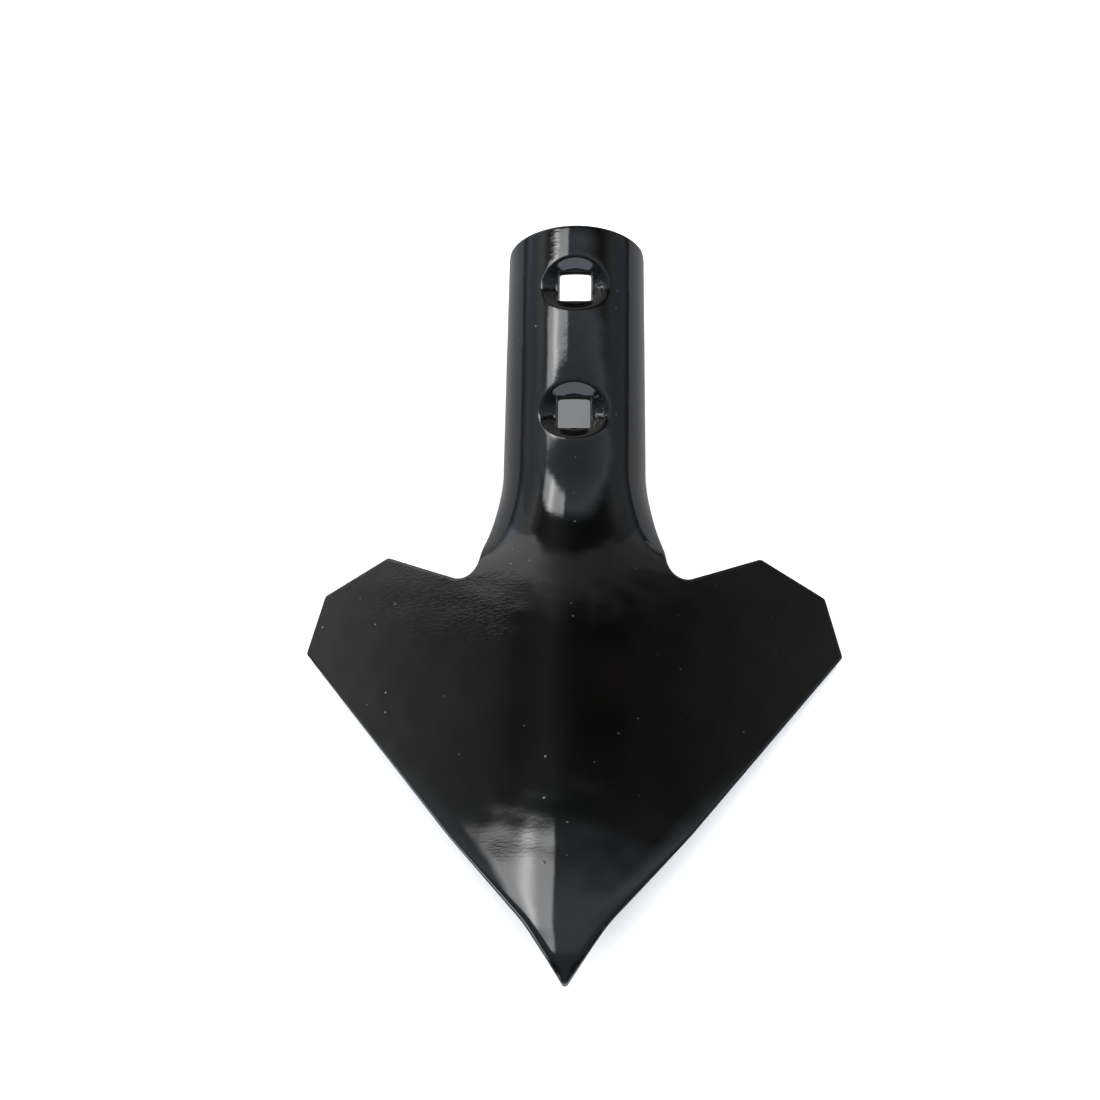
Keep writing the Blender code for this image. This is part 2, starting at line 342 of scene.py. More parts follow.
def sheet_face(rail, columns_out, height):
    """Straight rows from the centre line to the rail, broken at the column beside the holes."""
    start = np.stack([np.zeros(len(centre)), centre], axis=1)
    level = ease((outline[:, 1] - HOLE_COLUMN_START) / HOLE_COLUMN_LENGTH) * beyond
    share = blend(INNER_COLUMNS / (INNER_COLUMNS + OUTER_COLUMNS),
                  HOLE_PATCH[0] / np.maximum(rail[:, 0], HOLE_PATCH[0]), level)
    share = np.where(past, np.interp(travel, [travel[top_row], travel[-1]],
                                     [share[top_row], END_SHARE]), share)
    inner = share[:, None] * np.linspace(0.0, 1.0, INNER_COLUMNS + 1)
    outer = blend(share[:, None], 1.0, np.linspace(0.0, 1.0, columns_out + 1)[1:])
    shares = np.concatenate([inner, outer], axis=1)[..., None]
    flat = start[:, None] + (rail - start)[:, None] * shares
    return np.concatenate([flat, np.full(flat.shape[:2] + (1,), height)], axis=2)


print("column beside the holes:", INNER_COLUMNS, "of", INNER_COLUMNS + OUTER_COLUMNS)


# %% One grid for the half
def half_grid():
    """The carried section: an ellipse for the roll, a straight wall, a small quarter circle."""
    half = PLATE / 2
    top = sheet_face(outline + inward * (roll_in + seam)[:, None], OUTER_COLUMNS, half)
    quarter = np.linspace(0.0, pi / 2, ROLL_STEPS + 1)
    inset = roll_in[:, None] * (1.0 - np.sin(quarter))
    height = half - roll_down[:, None] * (1.0 - np.cos(quarter))
    wall = np.linspace(0.0, 1.0, WALL_STEPS + 1)[1:]
    inset = np.concatenate([inset, np.zeros((len(inset), WALL_STEPS))], axis=1)
    height = np.concatenate([height, blend(height[:, -1:], BURR_RADIUS - half, wall)], axis=1)
    quarter = np.linspace(0.0, pi / 2, BURR_STEPS + 1)[1:]
    burr_in = np.tile(BURR_RADIUS * (1.0 - np.cos(quarter)), (len(inset), 1))
    burr_up = np.tile(BURR_RADIUS * (1.0 - np.sin(quarter)) - half, (len(inset), 1))
    inset = np.concatenate([inset, burr_in], axis=1)
    height = np.concatenate([height, burr_up], axis=1)
    edge = outline[:, None] + inward[:, None] * inset[..., None]
    edge = np.concatenate([edge, height[..., None]], axis=2)
    under = sheet_face(outline + inward * (BURR_RADIUS + seam)[:, None], UNDER_COLUMNS, -half)
    return np.concatenate([top, edge, under[:, ::-1]], axis=1)


def quads(rows, columns):
    """Corner numbers of a grid's faces, as an array of (rows - 1) by (columns - 1) by 4."""
    number = np.arange(rows * columns).reshape(rows, columns)
    return np.stack([number[:-1, :-1], number[1:, :-1], number[1:, 1:], number[:-1, 1:]], axis=-1)


grid = half_grid()
print("half grid:", grid.shape[0], "rows by", grid.shape[1], "columns")

# %% [markdown]
# ## The bolt holes
#
# A plough bolt has a flat countersunk head on a square neck, so the share has a square hole with
# an oval cone round its mouth. The square's corners reach out into the cone. Each hole is a set
# of rings that all lie on the same spokes. A ring's reach changes from the free patch, to the
# oval, to the square, and its depth follows from its reach by one formula, so the cone, its
# soft rim and its floor come out in one piece and fit the sheet round them exactly.

# %% The patch that the rings fill
def row_at(station):
    """The row up the neck whose outline point is nearest to a station."""
    return int(np.argmin(np.abs(outline[:, 1] - station) + PLENTY * ~beyond))


rows_at = {hole: [row_at(hole + side * HOLE_PATCH[1]) for side in (-1, 1)]
           for hole in (LOWER_HOLE, UPPER_HOLE)}
last_column = grid.shape[1] - 1
cells = quads(*grid.shape[:2])
kept = np.ones(cells.shape[:2], bool)
for low_row, high_row in rows_at.values():
    kept[low_row:high_row, :INNER_COLUMNS] = False
    kept[low_row:high_row, last_column - INNER_COLUMNS:] = False
print("rows beside the holes:", rows_at)


def patch_edge(low_row, high_row, inner_face):
    """The sheet's own points round a hole's patch, from the centre line out and back again."""
    column = np.arange(INNER_COLUMNS + 1)
    if inner_face:
        column = last_column - column
    bottom = grid[low_row, column]
    side = grid[low_row + 1:high_row, column[-1]]
    top = grid[high_row, column[::-1]]
    return np.concatenate([bottom, side, top])


# %% The shape of a countersink
OVAL_POWER = 2.0
SQUARE_POWER = 18.0             # the higher, the sharper the square's corners
RIM_SOFTNESS = 0.10             # roundness of the cone's rim, as a share of its depth
RIM_END = 1.5                   # further out than this many cone widths, the face is flat


def reach(angle, half_across, half_along, power):
    """Spoke length to a superellipse: 1 / (|cos/a|^p + |sin/b|^p)^(1/p)."""
    total = np.abs(np.cos(angle) / half_across) ** power
    total = total + np.abs(np.sin(angle) / half_along) ** power
    return total ** (-1.0 / power)


def soft(value):
    """0 below 0, the value above 0, with a rounded bend between: (v + sqrt(v^2 + k^2)) / 2."""
    return (value + np.sqrt(value ** 2 + RIM_SOFTNESS ** 2)) / 2


def sink(spoke, mouth):
    """Depth of the countersink: a cone between the mouth and the floor, with both bends soft."""
    inward_share = (mouth - spoke) / (mouth * (1.0 - SINK_FLOOR))
    depth = soft(inward_share) - soft(inward_share - 1.0)
    return SINK_DEPTH * np.where(inward_share > -RIM_END, depth, 0.0)


print("half the countersink's mouth:", SINK_MOUTH, "m, with a soft rim")

# %% Rings of a countersunk square hole
LIP = 1.16                      # the inner end of the free patch, as a share of the mouth
LIP_CROWDING = 0.8              # below 1, so the patch's rings crowd towards the lip
UNDER_CROWDING = 1.2            # above 1, so they crowd towards the square hole
SQUARE_EDGE = 0.00035           # rounding where the cone meets the square hole
PATCH_RINGS = 9
CONE_RINGS = 16
EDGE_RINGS = 4
HOLE_RINGS = 4


def hole_grid(hole):
    """Rings from the patch on the outer face, down the hole, to the patch on the inner face."""
    half = PLATE / 2
    rim = patch_edge(*rows_at[hole], False)
    under = patch_edge(*rows_at[hole], True)
    offset = rim[:, :2] - (0.0, hole)
    angle = np.arctan2(offset[:, 1], offset[:, 0])
    patch = np.linalg.norm(offset, axis=1)
    mouth = reach(angle, *SINK_MOUTH, OVAL_POWER)
    square = reach(angle, *SQUARE, SQUARE_POWER)
    lip = mouth * LIP
    shares = np.linspace(0.0, 1.0, PATCH_RINGS + 1)
    spokes = [blend(patch, lip, share) for share in shares ** LIP_CROWDING]
    heights = [half - sink(spoke, mouth) for spoke in spokes]
    heights[0] = np.full(len(rim), half)
    for share in np.linspace(0.0, 1.0, CONE_RINGS + 1)[1:]:
        spokes.append(blend(lip, square + SQUARE_EDGE, share))
        heights.append(half - sink(spokes[-1], mouth))
    shoulder = heights[-1]
    for turn in np.linspace(0.0, pi / 2, EDGE_RINGS + 1)[1:]:
        spokes.append(square + SQUARE_EDGE * (1.0 - sin(turn)))
        heights.append(shoulder - SQUARE_EDGE * (1.0 - cos(turn)))
    for share in np.linspace(0.0, 1.0, HOLE_RINGS + 1)[1:]:
        spokes.append(square)
        heights.append(blend(shoulder - SQUARE_EDGE, BURR_RADIUS - half, share))
    for turn in np.linspace(0.0, pi / 2, BURR_STEPS + 1)[1:]:
        spokes.append(square + BURR_RADIUS * (1.0 - cos(turn)))
        heights.append(np.full(len(rim), BURR_RADIUS * (1.0 - sin(turn)) - half))
    for share in shares[1:]:
        spokes.append(blend(square + BURR_RADIUS, patch, share ** UNDER_CROWDING))
        heights.append(np.full(len(rim), -half))
    spokes = np.array(spokes)
    across = spokes * np.cos(angle)
    along = hole + spokes * np.sin(angle)
    rings = np.stack([across, along, np.array(heights)], axis=-1)
    rings[0], rings[-1] = rim, under
    return rings


holes = [hole_grid(hole) for hole in rows_at]
print("each hole:", holes[0].shape[0], "rings of", holes[0].shape[1], "points")

# %% [markdown]
# ## One closed skin
#
# The half sheet and the two half holes share their border points exactly, and so do the right
# half and its mirror image on the centre line. Rounding the coordinates and keeping each point
# once therefore sews the whole skin shut, with no tool that has to guess a distance.

# %% Sew the halves together
def sewn(blocks):
    """Join grids of points and faces, mirror them over the centre line and weld equal points.

    Points that no face uses, under the holes' patches, are left behind.
    """
    points, faces, filled = [], [], 0
    for block_points, block_faces in blocks:
        flat = block_points.reshape(-1, 3)
        mirrored = flat * (-1.0, 1.0, 1.0)
        points += [flat, mirrored]
        faces += [block_faces.reshape(-1, 4)[:, ::-1] + filled,
                  block_faces.reshape(-1, 4) + filled + len(flat)]
        filled += 2 * len(flat)
    points, faces = np.concatenate(points), np.concatenate(faces)
    points[np.abs(points[:, 0]) < WELD, 0] = 0.0
    _, first, number = np.unique(np.round(points / WELD).astype(np.int64), axis=0,
                                 return_index=True, return_inverse=True)
    used, faces = np.unique(number.reshape(-1)[faces], return_inverse=True)
    return points[first][used], faces.reshape(-1, 4)


blank, faces = sewn([(grid, cells[kept])] + [(rings, quads(*rings.shape[:2])) for rings in holes])
print("blank skin:", len(blank), "points and", len(faces), "faces of four corners")


# %% Press it and make the mesh
def skin(name, points, faces):
    """A mesh object from points and faces, after counting its open edges and its volume."""
    data = bpy.data.meshes.new(name)
    data.from_pydata(points.tolist(), [], faces)
    data.validate()
    work = bmesh.new()
    work.from_mesh(data)
    loose = sum(not edge.is_manifold for edge in work.edges)
    volume = work.calc_volume(signed=True)
    work.free()
    data.shade_smooth()
    piece = bpy.data.objects.new(name, data)
    bpy.context.scene.collection.objects.link(piece)
    print(name, len(points), "points,", loose, "open edges,", round(volume * 1e6, 1), "cm3")
    return piece


# %% [markdown]
# ## Not quite smooth
#
# A hot pressing is never as smooth as its drawing. Scale under the dies leaves shallow waves a few
# millimetres long, and gloss paint shows every one of them, because it mirrors the room. They are
# far too shallow to see as shape, so what matters is their slope. Where the flare is squeezed
# hardest, beside the roots of the neck, the steel gathers into short crossed wrinkles. The dies
# also drag the plate down a little beside the edges of the nose, and most of all at its tip.

# %% Waves in the plate
WAVE_SEED = 5
WAVE_COUNT = 60
WAVE_LENGTHS = (0.007, 0.022)
WAVE_SLOPE = 0.0042             # typical slope of all waves together


def waves(points, seed):
    """A sum of sines with random directions, each as deep as its length allows for its slope."""
    draw = np.random.default_rng(seed)
    length = draw.uniform(*WAVE_LENGTHS, WAVE_COUNT)
    heading = draw.uniform(0.0, pi, WAVE_COUNT)
    phase = draw.uniform(0.0, 2 * pi, WAVE_COUNT)
    turns = points[:, :1] * np.cos(heading) + points[:, 1:2] * np.sin(heading)
    depth = WAVE_SLOPE * length / (2 * pi) * np.sqrt(2.0 / WAVE_COUNT)
    return (depth * np.sin(2 * pi * turns / length + phase)).sum(axis=1)


print(WAVE_COUNT, "waves,", WAVE_LENGTHS[0], "to", WAVE_LENGTHS[1], "m long")

# %% Wrinkles beside the roots, and the drag at the edges
WRINKLE_PLACE = (0.0305, 0.1700)
WRINKLE_SIZE = (0.0045, 0.0060)
WRINKLE_LENGTH = 0.0042
WRINKLE_DEPTH = 0.00006
DRAG_DEPTH = 0.00028            # the dies drag the plate down beside the cutting edges of the nose
DRAG_WIDTH = 0.0095
DRAG_END = (0.060, 0.095)       # it dies out between these two stations
TIP_DROP = 0.0012               # the very tip is rounded off from above
TIP_LENGTH = 0.0100


def wrinkles(points):
    """Two crossed sine waves under a bell centred on each root: exp(-(a/w)^2 - (b/l)^2)."""
    aside = (np.abs(points[:, 0]) - WRINKLE_PLACE[0]) / WRINKLE_SIZE[0]
    ahead = (points[:, 1] - WRINKLE_PLACE[1]) / WRINKLE_SIZE[1]
    hill = np.exp(-aside ** 2 - ahead ** 2)
    crossed = sum(np.sin(2 * pi * (points[:, 1] + side * np.abs(points[:, 0])) / WRINKLE_LENGTH)
                  for side in (-1, 1))
    return WRINKLE_DEPTH * hill * crossed


def edge_drag(points):
    """How far the plate is dragged down beside the edge: depth * (1 - inset / width)^2.

    The tip's own drop is added: depth * (1 - ease(along / length)).
    """
    reach_out = np.interp(points[:, 1], [0.0, NOSE[1], EDGE_CREST[1], WING_TIP[1]],
                          [0.0, NOSE[0], EDGE_CREST[0], WING_TIP[0]])
    inset = np.clip((reach_out - np.abs(points[:, 0])) / DRAG_WIDTH, 0.0, 1.0)
    fading = 1.0 - ease((points[:, 1] - DRAG_END[0]) / (DRAG_END[1] - DRAG_END[0]))
    starting = ease(points[:, 1] / NOSE[1])
    at_tip = TIP_DROP * (1.0 - ease(points[:, 1] / TIP_LENGTH))
    return DRAG_DEPTH * (1.0 - inset) ** 2 * fading * starting + at_tip


print("the tip drops by", 1000 * TIP_DROP, "mm")

# %% The finished sweep
# where a wave lifts the outer face it lowers the inner one, so the plate's middle stays put
outer_side = ease(blank[:, 2] / PLATE + 0.5)
uneven = blank.copy()
uneven[:, 2] += waves(blank, WAVE_SEED) * (2.0 * outer_side - 1.0)
uneven[:, 2] += (wrinkles(blank) - edge_drag(blank)) * outer_side
print("deepest unevenness:", round(np.abs(uneven[:, 2] - blank[:, 2]).max() * 1e6), "micrometres")

sweep = skin("sweep_skin", pressed(uneven) + PLACE, faces.tolist())
for name, column in (("across", 0), ("along", 1), ("height", 2)):
    sweep.data.attributes.new(name, "FLOAT", "POINT").data.foreach_set(
        "value", blank[:, column].astype(np.float32))
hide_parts("sweep_share")
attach(sweep, "root")

# %% [markdown]
# ## Building with nodes
#
# Both the paint and the light are node graphs. A graph written node by node is long and hard to
# read, so small helpers write it like arithmetic: `put` adds a node and fills its inputs in order,
# and `sums` adds a maths node. The others are made of those two: a soft step, a value between two
# limits, an area with soft edges, a hill, a curve, and a mix of two colours.

# %% Two helpers that add nodes
def put(tree, kind, values=(), **settings):
    """Add a node and fill its inputs in order, with a link for a socket and a number otherwise."""
    node = tree.nodes.new(kind)
    for name, value in settings.items():
        setattr(node, name, value)
    for socket, value in zip(node.inputs, values):
        fill(tree, socket, value)
    return node


def fill(tree, socket, value):
    """Link a socket to an input, or write a number or a colour into it."""
    if isinstance(value, bpy.types.NodeSocket):
        tree.links.new(value, socket)
    elif value is not None:
        socket.default_value = value


def sums(tree, operation, *values):
    """One maths node, by the name of its operation."""
    return put(tree, "ShaderNodeMath", values, operation=operation).outputs[0]


print("node helpers: put, fill and sums")


# %% Steps, hills and areas
def step_up(tree, value, start, end):
    """0 before start, 1 after end, and a smooth rise between; it falls if end is below start."""
    if start < end:
        limits = (value, start, end, 0.0, 1.0)
    else:
        limits = (value, end, start, 1.0, 0.0)
    return put(tree, "ShaderNodeMapRange", limits, interpolation_type="SMOOTHSTEP").outputs[0]


def inside(tree, *edges):
    """An area with soft edges: the product of one step for each (value, start, end)."""
    area = step_up(tree, *edges[0])
    for edge in edges[1:]:
        area = sums(tree, "MULTIPLY", area, step_up(tree, *edge))
    return area


def span(tree, share, low, high):
    """low + (high - low) * share."""
    return sums(tree, "MULTIPLY_ADD", share, high - low, low)


def bell(tree, value, middle, width):
    """exp(-((value - middle) / width)^2), a soft hill one high."""
    offset = sums(tree, "DIVIDE", sums(tree, "SUBTRACT", value, middle), width)
    squared = sums(tree, "MULTIPLY", offset, offset)
    return sums(tree, "EXPONENT", sums(tree, "MULTIPLY", squared, -1.0))


print("areas: step_up, inside, span and bell")


# %% Curves and mixed colours
def ramp(tree, value, stops):
    """A colour ramp used as a curve: a list of (value, height)."""
    node = put(tree, "ShaderNodeValToRGB", (value,))
    elements = node.color_ramp.elements
    while len(elements) < len(stops):
        elements.new(0.5)
    for element, (place, height) in zip(elements, stops):
        element.position = place
        element.color = (height, height, height, 1.0)
    return node.outputs[0]


def mixed(tree, share, first, second):
    """A colour between two colours: the colour sockets of a Mix node are its inputs 6 and 7."""
    node = put(tree, "ShaderNodeMix", (share,), data_type="RGBA")
    fill(tree, node.inputs[6], first)
    fill(tree, node.inputs[7], second)
    return node.outputs[2]


def noise(tree, place, scale, detail, roughness=0.5):
    """A 3-D noise texture between 0 and 1, about 1 / scale metres from hill to hill."""
    node = put(tree, "ShaderNodeTexNoise", noise_dimensions="3D")
    for name, value in (("Vector", place), ("Scale", scale), ("Detail", detail),
                        ("Roughness", roughness)):
        fill(tree, node.inputs[name], value)
    return node.outputs[0]


print("curves and textures: ramp, mixed and noise")


# %% Node groups
def new_group(name, inputs, outputs):
    """An empty shader node group with its named sockets, and its inner start and end nodes."""
    tree = bpy.data.node_groups.new(name, "ShaderNodeTree")
    for label, kind, value in inputs:
        socket = tree.interface.new_socket(label, in_out="INPUT", socket_type=kind)
        if value is not None:
            socket.default_value = value
    for label, kind in outputs:
        tree.interface.new_socket(label, in_out="OUTPUT", socket_type=kind)
    return tree, put(tree, "NodeGroupInput").outputs, put(tree, "NodeGroupOutput").inputs


def use_group(tree, group, **values):
    """Place a group and set its inputs by name; an underscore stands for a space."""
    node = put(tree, "ShaderNodeGroup", node_tree=group)
    for name, value in values.items():
        fill(tree, node.inputs[name.replace("_", " ")], value)
    return node.outputs


print("groups: new_group and use_group")

# %% [markdown]
# ## The paint
#
# The share is dipped in black enamel and baked. The paint is a glossy film, so nearly all that the
# eye sees of it is what it mirrors. Its own marks are few, and each is a small node group with
# named inputs, so that it can be placed again with other values:
#
# * orange peel, the fine dimpled skin of baked enamel;
# * press grain, short dents that lie across the wings where the dies slid on scale;
# * nibs, the odd grain of dust that the enamel dried on, coloured pale for the dust and for a painted
#   glint;
# * thin edges, where the film draws back from the cut wall and shows brown-grey primer, lightened there
#   as a painted reflection of the paper that the wall mirrors.

# %% Orange peel
FLOAT, VECTOR = "NodeSocketFloat", "NodeSocketVector"
PEEL_DETAIL = 1.5
PEEL_ROUGHNESS = 0.45


def orange_peel_group():
    """Height = (noise(place / size) - 1/2) * depth."""
    tree, start, end = new_group(
        "orange_peel", [("Place", VECTOR, None), ("Size", FLOAT, 0.0015), ("Depth", FLOAT, 1e-6)],
        [("Height", FLOAT)])
    scale = sums(tree, "DIVIDE", 1.0, start["Size"])
    dimples = noise(tree, start["Place"], scale, PEEL_DETAIL, PEEL_ROUGHNESS)
    height = sums(tree, "SUBTRACT", dimples, 0.5)
    tree.links.new(sums(tree, "MULTIPLY", height, start["Depth"]), end["Height"])
    return tree


orange_peel = orange_peel_group()
print("group:", orange_peel.name)

# %% Press grain
GRAIN_DETAIL = 2.0
GRAIN_CUT = (0.44, 0.66)        # the noise below the first is flat, and above the second a full dent


def press_grain_group():
    """Dents: noise on a place squeezed in one direction, kept only where it is high."""
    tree, start, end = new_group(
        "press_grain", [("Place", VECTOR, None), ("Length", FLOAT, 0.003), ("Width", FLOAT, 0.0008),
                        ("Depth", FLOAT, 1e-5)], [("Height", FLOAT), ("Mask", FLOAT)])
    parts = put(tree, "ShaderNodeSeparateXYZ", (start["Place"],)).outputs
    squeezed = put(tree, "ShaderNodeCombineXYZ", (
        sums(tree, "DIVIDE", parts[0], start["Length"]),
        sums(tree, "DIVIDE", parts[1], start["Width"]), 0.0)).outputs[0]
    dents = step_up(tree, noise(tree, squeezed, 1.0, GRAIN_DETAIL), *GRAIN_CUT)
    tree.links.new(sums(tree, "MULTIPLY", dents, start["Depth"]), end["Height"])
    tree.links.new(dents, end["Mask"])
    return tree


press_grain = press_grain_group()
print("group:", press_grain.name)

# %% Nibs of dust
SMALLEST_NIB = 0.25             # as a share of the largest


def nibs_group():
    """A round hill in a few of the cells of a Voronoi pattern, picked by the cell's own number."""
    tree, start, end = new_group(
        "dust_nibs", [("Place", VECTOR, None), ("Spacing", FLOAT, 0.006), ("Radius", FLOAT, 0.0004),
                      ("Share", FLOAT, 0.2)], [("Mask", FLOAT)])
    cells = put(tree, "ShaderNodeTexVoronoi", voronoi_dimensions="2D", feature="F1")
    tree.links.new(start["Place"], cells.inputs["Vector"])
    tree.links.new(sums(tree, "DIVIDE", 1.0, start["Spacing"]), cells.inputs["Scale"])
    distance = sums(tree, "MULTIPLY", cells.outputs["Distance"], start["Spacing"])
    pick, size, _ = put(tree, "ShaderNodeSeparateColor", (cells.outputs["Color"],)).outputs
    radius = sums(tree, "MULTIPLY", start["Radius"], span(tree, size, SMALLEST_NIB, 1.0))
    near = sums(tree, "SUBTRACT", 1.0, sums(tree, "DIVIDE", distance, radius))
    chosen = sums(tree, "LESS_THAN", pick, start["Share"])
    tree.links.new(sums(tree, "MULTIPLY", sums(tree, "MAXIMUM", near, 0.0), chosen), end["Mask"])
    return tree


dust_nibs = nibs_group()
print("group:", dust_nibs.name)

# %% Thin paint along the edges, and a painted reflection on the cut walls
WALL_MIDDLE = (0.02, 0.30)      # depth below a face, as a share of half the plate
WALL_PATCH_SCALE = 420.0              # patches of about 2 mm
WALL_PATCH_DETAIL = 4.0
WALL_PATCH_CUT = (0.35, 0.80)


def thin_edge_and_reflection_group():
    """1 where the film is thinned and the paper's reflection is painted: near the middle of the cut wall,
    broken up by noise.
    """
    tree, start, end = new_group(
        "thin_edge_and_painted_reflection", [("Place", VECTOR, None), ("Height", FLOAT, 0.0), ("Half Plate", FLOAT, 0.003),
                      ("Amount", FLOAT, 0.5)], [("Mask", FLOAT)])
    share = sums(tree, "DIVIDE", sums(tree, "ABSOLUTE", start["Height"]), start["Half Plate"])
    wall = step_up(tree, sums(tree, "SUBTRACT", 1.0, share), *WALL_MIDDLE)
    patchy = step_up(tree, noise(tree, start["Place"], WALL_PATCH_SCALE, WALL_PATCH_DETAIL), *WALL_PATCH_CUT)
    mask = sums(tree, "MULTIPLY", sums(tree, "MULTIPLY", wall, patchy), start["Amount"])
    tree.links.new(mask, end["Mask"])
    return tree


thin_edge_and_painted_reflection = thin_edge_and_reflection_group()
print("group:", thin_edge_and_painted_reflection.name)

# %% [markdown]
# ## Where each mark lies
#
# The skin carries its own flat coordinates, `across`, `along` and `height`, as attributes. The
# material reads them to say where on the blank a mark belongs: press grain on the backs of the
# wings, coarse peel on the crown of the neck, tool marks in the countersinks. The bumps go through
# one Bump node, whose height is in metres. Each pair of places below is where a soft step starts
# and ends, in metres on the blank.

# %% The skin's own coordinates
OUTER = (0.5 * PLATE / 2, 0.9 * PLATE / 2)      # height of the outer face
LEFT_SIDE = (0.020, -0.020)     # the left wing is rougher than the right one
NECK_START = (0.150, 0.200)     # the blade becomes the neck


def blank_coordinates(tree):
    """The places that the marks are laid out on, by name."""
    across, along, height = (put(tree, "ShaderNodeAttribute", attribute_name=name).outputs["Fac"]
                             for name in ("across", "along", "height"))
    return {"across": across, "along": along, "height": height,
            "place": put(tree, "ShaderNodeTexCoord").outputs["Object"],
            "flat": put(tree, "ShaderNodeCombineXYZ", (across, along, height)).outputs[0],
            "aside": sums(tree, "ABSOLUTE", across),
            "left": step_up(tree, across, *LEFT_SIDE),
            "outer": step_up(tree, height, *OUTER),
            "on_neck": step_up(tree, along, *NECK_START)}


print("outer face above", 1000 * OUTER[1], "mm")

# %% Press grain on the wings
GRAIN_ALONG = (0.095, 0.150)    # the backs of the wings
GRAIN_ASIDE = (0.012, 0.030)    # and not on the ridge
GRAIN_RIGHT = 0.25              # the right wing has this share of the left one's
NOSE_GRAIN_PLACE = 0.046        # a weaker patch crosses the left side of the nose
NOSE_GRAIN_WIDTH = 0.006
NOSE_GRAIN = 0.3
GRAIN_LENGTH = 0.0026
GRAIN_WIDTH = 0.0009
GRAIN_DEPTH = 0.000007


def wing_grain(tree, at):
    """The press grain's outputs, and how much of it there is at each place."""
    backs = inside(tree, (at["along"], *GRAIN_ALONG), (at["aside"], *GRAIN_ASIDE))
    backs = sums(tree, "MULTIPLY", backs, span(tree, at["left"], GRAIN_RIGHT, 1.0))
    nose = sums(tree, "MULTIPLY", bell(tree, at["along"], NOSE_GRAIN_PLACE, NOSE_GRAIN_WIDTH),
                sums(tree, "MULTIPLY", at["left"], NOSE_GRAIN))
    amount = sums(tree, "ADD", backs, nose)
    grain = use_group(tree, press_grain, Place=at["flat"], Length=GRAIN_LENGTH, Width=GRAIN_WIDTH,
                      Depth=sums(tree, "MULTIPLY", amount, GRAIN_DEPTH))
    return grain, amount


print("grain:", GRAIN_LENGTH, "by", GRAIN_WIDTH, "m")

# %% Orange peel, fine and coarse
FINE_PEEL = 0.0010
COARSE_PEEL = 0.0021
NECK_TOP_ALONG = (0.235, 0.275)
NECK_TOP_ACROSS = -0.009        # the roughest peel lies on the left of the neck's crown
NECK_TOP_WIDTH = 0.010
FINE_DEPTHS = (0.0000017, 0.0000137)            # elsewhere, and on the neck's crown
COARSE_DEPTHS = (0.0000030, 0.0000115)          # on the blade, and on the neck


def enamel_peel(tree, at):
    """The height of the fine peel plus that of the coarse one."""
    neck_top = sums(tree, "MULTIPLY", step_up(tree, at["along"], *NECK_TOP_ALONG),
                    bell(tree, at["across"], NECK_TOP_ACROSS, NECK_TOP_WIDTH))
    fine = use_group(tree, orange_peel, Place=at["place"], Size=FINE_PEEL,
                     Depth=span(tree, neck_top, *FINE_DEPTHS))
    coarse = use_group(tree, orange_peel, Place=at["place"], Size=COARSE_PEEL,
                       Depth=span(tree, at["on_neck"], *COARSE_DEPTHS))
    return sums(tree, "ADD", fine["Height"], coarse["Height"])


print("peel:", FINE_PEEL, "and", COARSE_PEEL, "m")

# %% Tool marks in the countersinks
HOLES_ASIDE = (0.020, 0.016)    # the holes are nearer to the centre line than this
SUNK = (0.98 * PLATE / 2, 0.80 * PLATE / 2)     # height below the outer face
RIGHT_END = (0.0070, 0.0090)    # the marks show at both ends of the oval
LEFT_END = (-0.0070, -0.0095)
LEFT_END_SHARE = 0.4
MARK_LENGTH = 0.0013
MARK_WIDTH = 0.0024
MARK_DEPTHS = (0.000004, 0.000094)              # elsewhere in the cone, and at its right end


def countersink_marks(tree, at):
    """The height of the marks, and 1 on the part of the neck that holds the holes."""
    by_holes = sums(tree, "MULTIPLY", at["on_neck"], step_up(tree, at["aside"], *HOLES_ASIDE))
    sunk = sums(tree, "MULTIPLY", by_holes, step_up(tree, at["height"], *SUNK))
    left = sums(tree, "MULTIPLY", step_up(tree, at["across"], *LEFT_END), LEFT_END_SHARE)
    ends = sums(tree, "ADD", step_up(tree, at["across"], *RIGHT_END), left)
    marks = use_group(tree, press_grain, Place=at["place"], Length=MARK_LENGTH, Width=MARK_WIDTH,
                      Depth=sums(tree, "MULTIPLY", sunk, span(tree, ends, *MARK_DEPTHS)))
    return marks["Height"], by_holes


print("tool marks:", 1e6 * MARK_DEPTHS[1], "micrometres deep at most")

# %% Nibs on the outer face
NIB_SPACING = 0.008
NIB_RADIUS = 0.00060
NIB_SHARE = 0.12                # of the cells
NIBS_RIGHT = 0.3                # how strongly they show on the right side
NIB_HEIGHT = 0.00006


def enamel_nibs(tree, at):
    """The nibs' mask, weaker on the right and nothing on the inner face."""
    nibs = use_group(tree, dust_nibs, Place=at["flat"], Spacing=NIB_SPACING, Radius=NIB_RADIUS,
                     Share=NIB_SHARE)["Mask"]
    strength = sums(tree, "MULTIPLY", at["outer"], span(tree, at["left"], NIBS_RIGHT, 1.0))
    return sums(tree, "MULTIPLY", nibs, strength)


print("nibs: one cell in", round(1.0 / NIB_SHARE), "has one")

# %% Colours and gloss of the paint
ENAMEL = (0.0005, 0.0008, 0.0006, 1.0)
ENAMEL_DUSTY = (0.0019, 0.0015, 0.0014, 1.0)
# brown-grey primer, lightened as a painted reflection of the paper that the cut walls mirror
PRIMER_AND_PAINTED_REFLECTION = (0.034, 0.030, 0.027, 1.0)
